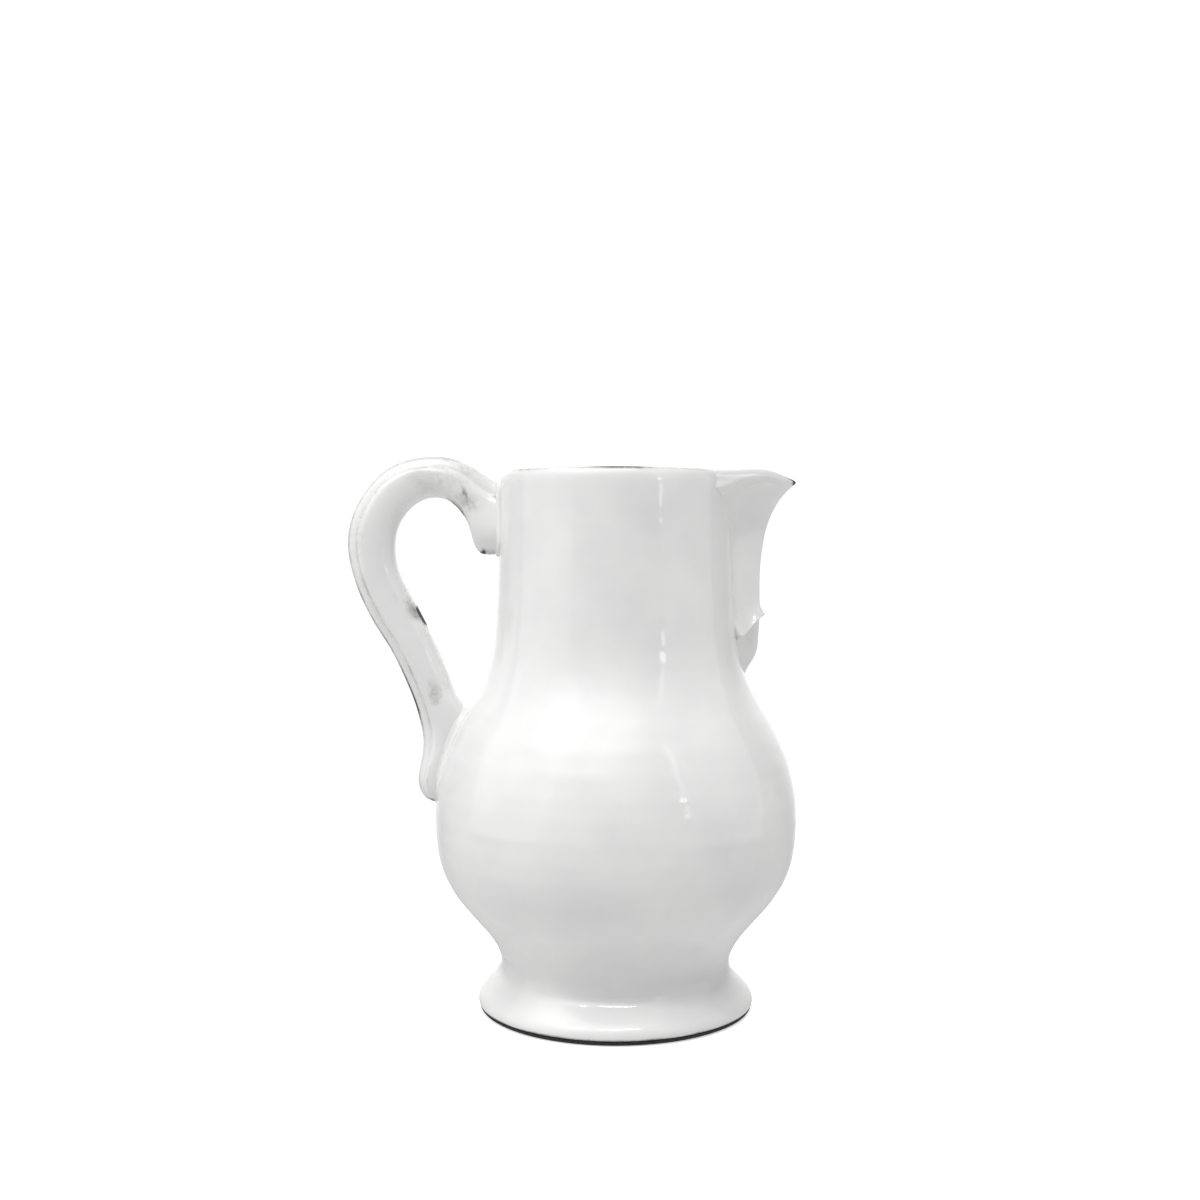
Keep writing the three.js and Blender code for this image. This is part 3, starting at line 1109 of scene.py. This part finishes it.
        def place(across: float, up: float) -> Vector:
            """Gives a point of the strap: round its section, and along it from lobe to tongue."""
            column = round(across * columns)
            near = column <= half
            depth, width = self.section[column if near else columns - column]
            outer_x, outer_z, inner_x, inner_z, half_width = (spline.at(up) for spline in splines)
            lobe = 0.34 * (1 - smoothstep(0.06, 0.24, up))
            width *= 1 + lobe * (smoothstep(0.3, 0.8, depth) - 0.35)
            y = half_width * width * (-1 if near else 1)
            return Vector((mix(outer_x, inner_x, depth), y, mix(outer_z, inner_z, depth)))

        bm = warped_grid(columns, self.rows, place)
        fill_ends(bm)
        return bm

    def on_body(self, y: float, z: float, sunk: float) -> tuple[Vector, Vector]:
        """Gives a point on the handle's side of the body and the way off it.

        Args:
            y: Its place across.
            z: Its height.
            sunk: How deep it lies in the wall.

        Returns:
            The point and the outward direction.
        """
        radius = self.body.radius(z)
        flat = Vector((-math.sqrt(radius * radius - y * y), y, 0)).normalized()
        slope = (self.body.radius(z + 1) - self.body.radius(z - 1)) / 2
        off = (flat - Vector((0, 0, slope))).normalized()
        return flat * radius + Vector((0, 0, z)) - off * sunk, off

    def slip_ring(self, outline: Sequence[tuple[float, float, float]], count: int) -> BMesh:
        """Rolls a closed ring of slip on the body, round a root of the handle.

        Args:
            outline: Y, height and radius of the bead, from the top down one side to the bottom.
            count: Points down that side.

        Returns:
            The mesh.
        """
        side = Line(outline).points(count)
        other = [(-y, z, radius) for y, z, radius in reversed(side[1:-1])]
        path, outward, radii = [], [], []
        for y, z, radius in [*side, *other]:
            point, off = self.on_body(y, z, 0.12 * radius)
            path.append(point)
            outward.append(off)
            radii.append(radius)
        return coil(path, outward, radii)

    def slip_fillet(self, outline: Sequence[tuple[float, float, float]], count: int) -> BMesh:
        """Smooths a hollow fillet of slip into the corner between the handle and the body.

        Args:
            outline: Y, height and width of the fillet, from the top down one side to the bottom.
            count: Points down that side.

        Returns:
            The mesh.
        """
        side = Line(outline).points(count)
        other = [(-y, z, wide) for y, z, wide in reversed(side[1:-1])]
        ring = [*side, *other]
        corners = [self.on_body(y, z, 0.0) for y, z, _ in ring]
        sections = []
        for i, (y, z, wide) in enumerate(ring):
            corner, off = corners[i]
            along = corners[(i + 1) % len(ring)][0] - corners[i - 1][0]
            away = along.cross(off).normalized()
            leaned = (off + Vector((0, 0, 1.12 * smoothstep(112, 124, z)))).normalized()
            on_wall = corner + leaned * wide + away * 0.1
            on_skin, _ = self.on_body(y + away.y * wide, z + away.z * wide, 0.05)
            middle = corner + (leaned + away) * 0.1 * wide
            curve = soft_corner(on_wall, middle, on_skin, 6)
            sections.append([*curve, corner - off * 1.5, corner - away * 1.6])
        return loft(sections, ring=True)

    def thin(self, point: Vector) -> float:
        """Gives how thin the glaze lies: along the spine's crest and where fingers rubbed it, with a grey
        line of painted shade down the groove beside the spine.
        """
        return max(self.crest_bare_and_groove_shade(point), self.smear(point), *(rub.depth(point) for rub in self.rubs))

    def crest_bare_and_groove_shade(self, point: Vector) -> float:
        """Gives the bare line along the spine's crest, and a grey line of painted shade down in its groove.
        """
        flat = Vector((point.x, 0, point.z))
        depth = min((flat - mark).length for mark in self.arris)
        if depth > 6:
            return 0.0
        held = noise.noise(Vector((3.0, 0, (point.z - point.x) / 13.0)))
        low = 1 - smoothstep(150, 178, point.z)
        root = smoothstep(-68, -56, point.x) * smoothstep(200, 215, point.z)
        tongue = 1 - smoothstep(112, 122, point.z)
        patch = 0.55 * math.exp(-(((point.z - 129) / 6.0) ** 2))
        bare = (mix(0.72, 0.88, low) + 0.55 * held + patch) * (1 - root) * (1 - 0.6 * tongue)
        bare *= 1 - smoothstep(0.5, mix(1.6, 2.1, low), depth)
        # painted shade: a grey line down the groove beside the spine, gone at the upper root and weaker on
        # the tongue
        groove_shade = 0.44 + 0.5 * held - 0.2 * tongue
        groove_shade *= (1 - root) * max(1 - abs(depth - self.groove_shade_depth) / self.groove_shade_half, 0)
        return min(max(bare, groove_shade, 0.0), 1.6)

    def smear(self, point: Vector) -> float:
        """Gives the faint grey clouds that handling left in the raw glaze."""
        cloud = noise.noise(point / 17.0 + Vector((2.2, 5.1, 0.3)))
        return 0.24 * smoothstep(-0.05, 0.6, cloud)

    def build(self, glaze: Material) -> None:
        """Builds the strap and its two slip beads."""
        finish_piece(self.strap(), "strap_handle", glaze, Slot.GLAZE, ["handle"], self.thin, levels=2)
        upper = self.slip_ring(self.upper_bead, 30)
        finish_piece(upper, "handle_upper_slip_bead", glaze, Slot.GLAZE, ["handle_upper_slip_joint"])
        lower = self.slip_fillet(self.lower_bead, 40)
        finish_piece(lower, "handle_lower_slip_bead", glaze, Slot.GLAZE, ["handle_lower_slip_joint"])


# ---- the studio ----


@dataclass(frozen=True)
class Softbox:
    """One soft rectangular light, hung by its bearing from the middle of the pitcher."""

    name: str
    azimuth: float
    elevation: float
    wide: float
    tall: float
    radiance: float
    distance: float = 1.6
    aim_height: float = 0.13

    def build(self) -> None:
        """Hangs the light and turns it to the pitcher. Its width and height are degrees of view."""
        away = direction(self.azimuth, self.elevation)
        light = bpy.data.lights.new(self.name, "AREA")
        light.shape = "RECTANGLE"
        light.size = 2 * self.distance * math.tan(math.radians(self.wide / 2))
        light.size_y = 2 * self.distance * math.tan(math.radians(self.tall / 2))
        light.energy = self.radiance * math.pi * light.size * light.size_y
        holder = bpy.data.objects.new(self.name, light)
        holder.location = away * self.distance + Vector((AXIS_X * MM, 0, self.aim_height))
        holder.rotation_euler = (-away).to_track_quat("-Z", "Y").to_euler()
        holder.visible_camera = False
        bpy.context.scene.collection.objects.link(holder)


@dataclass(frozen=True)
class SkyGlow:
    """A broad patch of light in the room with no edge: full to the inner angle, gone at the outer."""

    azimuth: float
    elevation: float
    inner: float
    outer: float
    radiance: float

    def onto(self, tree: NodeTree, way: NodeSocket, level: NodeSocket) -> NodeSocket:
        """Adds the patch to the room's light.

        Args:
            tree: The world's tree.
            way: The direction looked in.
            level: The light so far.

        Returns:
            The light with the patch.
        """
        middle = direction(self.azimuth, self.elevation)
        near = add(tree, "VectorMath", {"operation": "DOT_PRODUCT"}, in_0=way, in_1=middle).outputs["Value"]
        edge, full = (math.cos(math.radians(angle)) for angle in (self.outer, self.inner))
        share = eased(tree, near, edge, full)
        return reckoned(tree, "MULTIPLY_ADD", share, self.radiance, level)


@dataclass
class Studio:
    """A plain pale table, soft light and the camera."""

    camera_place: tuple[float, float, float] = (-6.47, -651.0, 195.4)
    camera_down: float = 2.11
    lens: float = 46.5
    floor_half: float = 4.0
    # how far out the table keeps its own colour
    floor_clear: float = 0.24
    # how bright the room is straight below and straight above, and how steeply it dims between
    room_bottom: float = 1.0
    room_top: float = 0.03
    room_fall: float = 1.6
    lights: tuple[Softbox, ...] = (
        Softbox("left_softbox", -72.0, 22.0, 60.0, 70.0, 0.70),
        Softbox("right_softbox", 75.0, 22.0, 60.0, 70.0, 0.60),
        Softbox("right_strip_low", 43.5, 7.0, 3.5, 3.2, 3.4),
        Softbox("right_lamp", 42.5, 15.0, 4.5, 5.0, 5.5),
        Softbox("right_strip_high", 43.0, 31.0, 3.0, 24.0, 1.2),
        Softbox("front_lamp", 4.0, 61.0, 25.0, 2.8, 18.0, 8.0),
        Softbox("front_lamp_end", -44.0, 58.0, 4.0, 2.8, 16.0, 8.0),
    )
    glows: tuple[SkyGlow, ...] = (
        SkyGlow(-38.0, 67.0, 8.0, 44.0, 2.55),
        SkyGlow(180.0, 30.0, 18.0, 56.0, 1.1),
    )

    def floor(self) -> None:
        """Lays the table top, which melts into a white sweep away from the pitcher."""
        material, tree = new_material("pale_table")
        place = add(tree, "TexCoord").outputs["Object"]
        mottle = add(tree, "TexNoise", vector=place, scale=14.0, detail=3.0).outputs["Fac"]
        colour = blended(tree, mottle, linear("#f6f6f5"), linear("#f9f9f9"))
        matt = add(tree, "BsdfPrincipled", base_color=colour, roughness=0.9, emission_color=(1, 1, 1, 1),
                   emission_strength=0.55)
        away = add(tree, "VectorMath", {"operation": "LENGTH"}, in_0=place).outputs["Value"]
        far = eased(tree, away, self.floor_clear, 2 * self.floor_clear)
        sweep = add(tree, "Emission", color=(1, 1, 1, 1), strength=WHITE_STRENGTH)
        both = add(tree, "MixShader", in_0=far, in_1=matt.outputs["BSDF"], in_2=sweep.outputs[0])
        add(tree, "OutputMaterial", surface=both.outputs[0])
        bm = bmesh.new()
        bmesh.ops.create_grid(bm, x_segments=1, y_segments=1, size=self.floor_half)
        mesh = bpy.data.meshes.new("table_top")
        bm.to_mesh(mesh)
        bm.free()
        mesh.materials.append(material)
        top = bpy.data.objects.new("table_top", mesh)
        bpy.context.scene.collection.objects.link(top)
        top.visible_diffuse = False
        top.visible_glossy = False
        top.visible_shadow = False
        top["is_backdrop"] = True

    def sky(self) -> None:
        """Fills the room with light, bright from below and dim overhead. The camera sees plain white."""
        world = bpy.data.worlds.new("room")
        world.use_nodes = True
        tree = world.node_tree
        tree.nodes.clear()
        way = add(tree, "TexCoord").outputs["Generated"]
        height = add(tree, "SeparateXYZ", vector=way).outputs["Z"]
        share = add(tree, "MapRange", value=height, from_min=1.0, from_max=-1.0).outputs["Result"]
        fall = reckoned(tree, "POWER", share, self.room_fall)
        level = add(tree, "MapRange", value=fall, to_min=self.room_top,
                    to_max=self.room_bottom).outputs["Result"]
        for glow in self.glows:
            level = glow.onto(tree, way, level)
        fill = add(tree, "Background", color=level, strength=1.0)
        white = add(tree, "Background", color=(1, 1, 1, 1), strength=WHITE_STRENGTH)
        seen = add(tree, "LightPath").outputs["Is Camera Ray"]
        both = add(tree, "MixShader", in_0=seen, in_1=fill.outputs[0], in_2=white.outputs[0])
        add(tree, "OutputWorld", surface=both.outputs[0])
        bpy.context.scene.world = world

    def camera(self) -> None:
        """Sets the camera up in front, a little below the rim."""
        data = bpy.data.cameras.new("camera")
        data.lens = self.lens
        data.sensor_width = 36.0
        camera = bpy.data.objects.new("camera", data)
        x, y, z = self.camera_place
        camera.location = Vector((x + AXIS_X, y, z)) * MM
        camera.rotation_euler = (math.radians(90 - self.camera_down), 0, 0)
        bpy.context.scene.collection.objects.link(camera)
        bpy.context.scene.camera = camera

    def build(self) -> None:
        """Builds the whole studio."""
        self.floor()
        self.sky()
        for light in self.lights:
            light.build()
        self.camera()
        bpy.context.scene.view_settings.view_transform = "Standard"


def main() -> None:
    """Builds the pitcher piece by piece, then the studio, and works out both boxes."""
    logging.basicConfig(level=logging.INFO, format="%(name)s %(message)s")
    glaze = TinGlaze().material()
    clay = BareClay().material()
    body = ThrownBody()
    body.build(glaze)
    PedestalFoot(body).build(glaze, clay)
    BeakSpout(body).build(glaze)
    StrapHandle(body).build(glaze)
    Studio().build()
    boxes = {"cad": CAD_BOX, "visual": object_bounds()}
    {name: [list(corner) for corner in box] for name, box in boxes.items()}


if __name__ == "__main__":
    main()
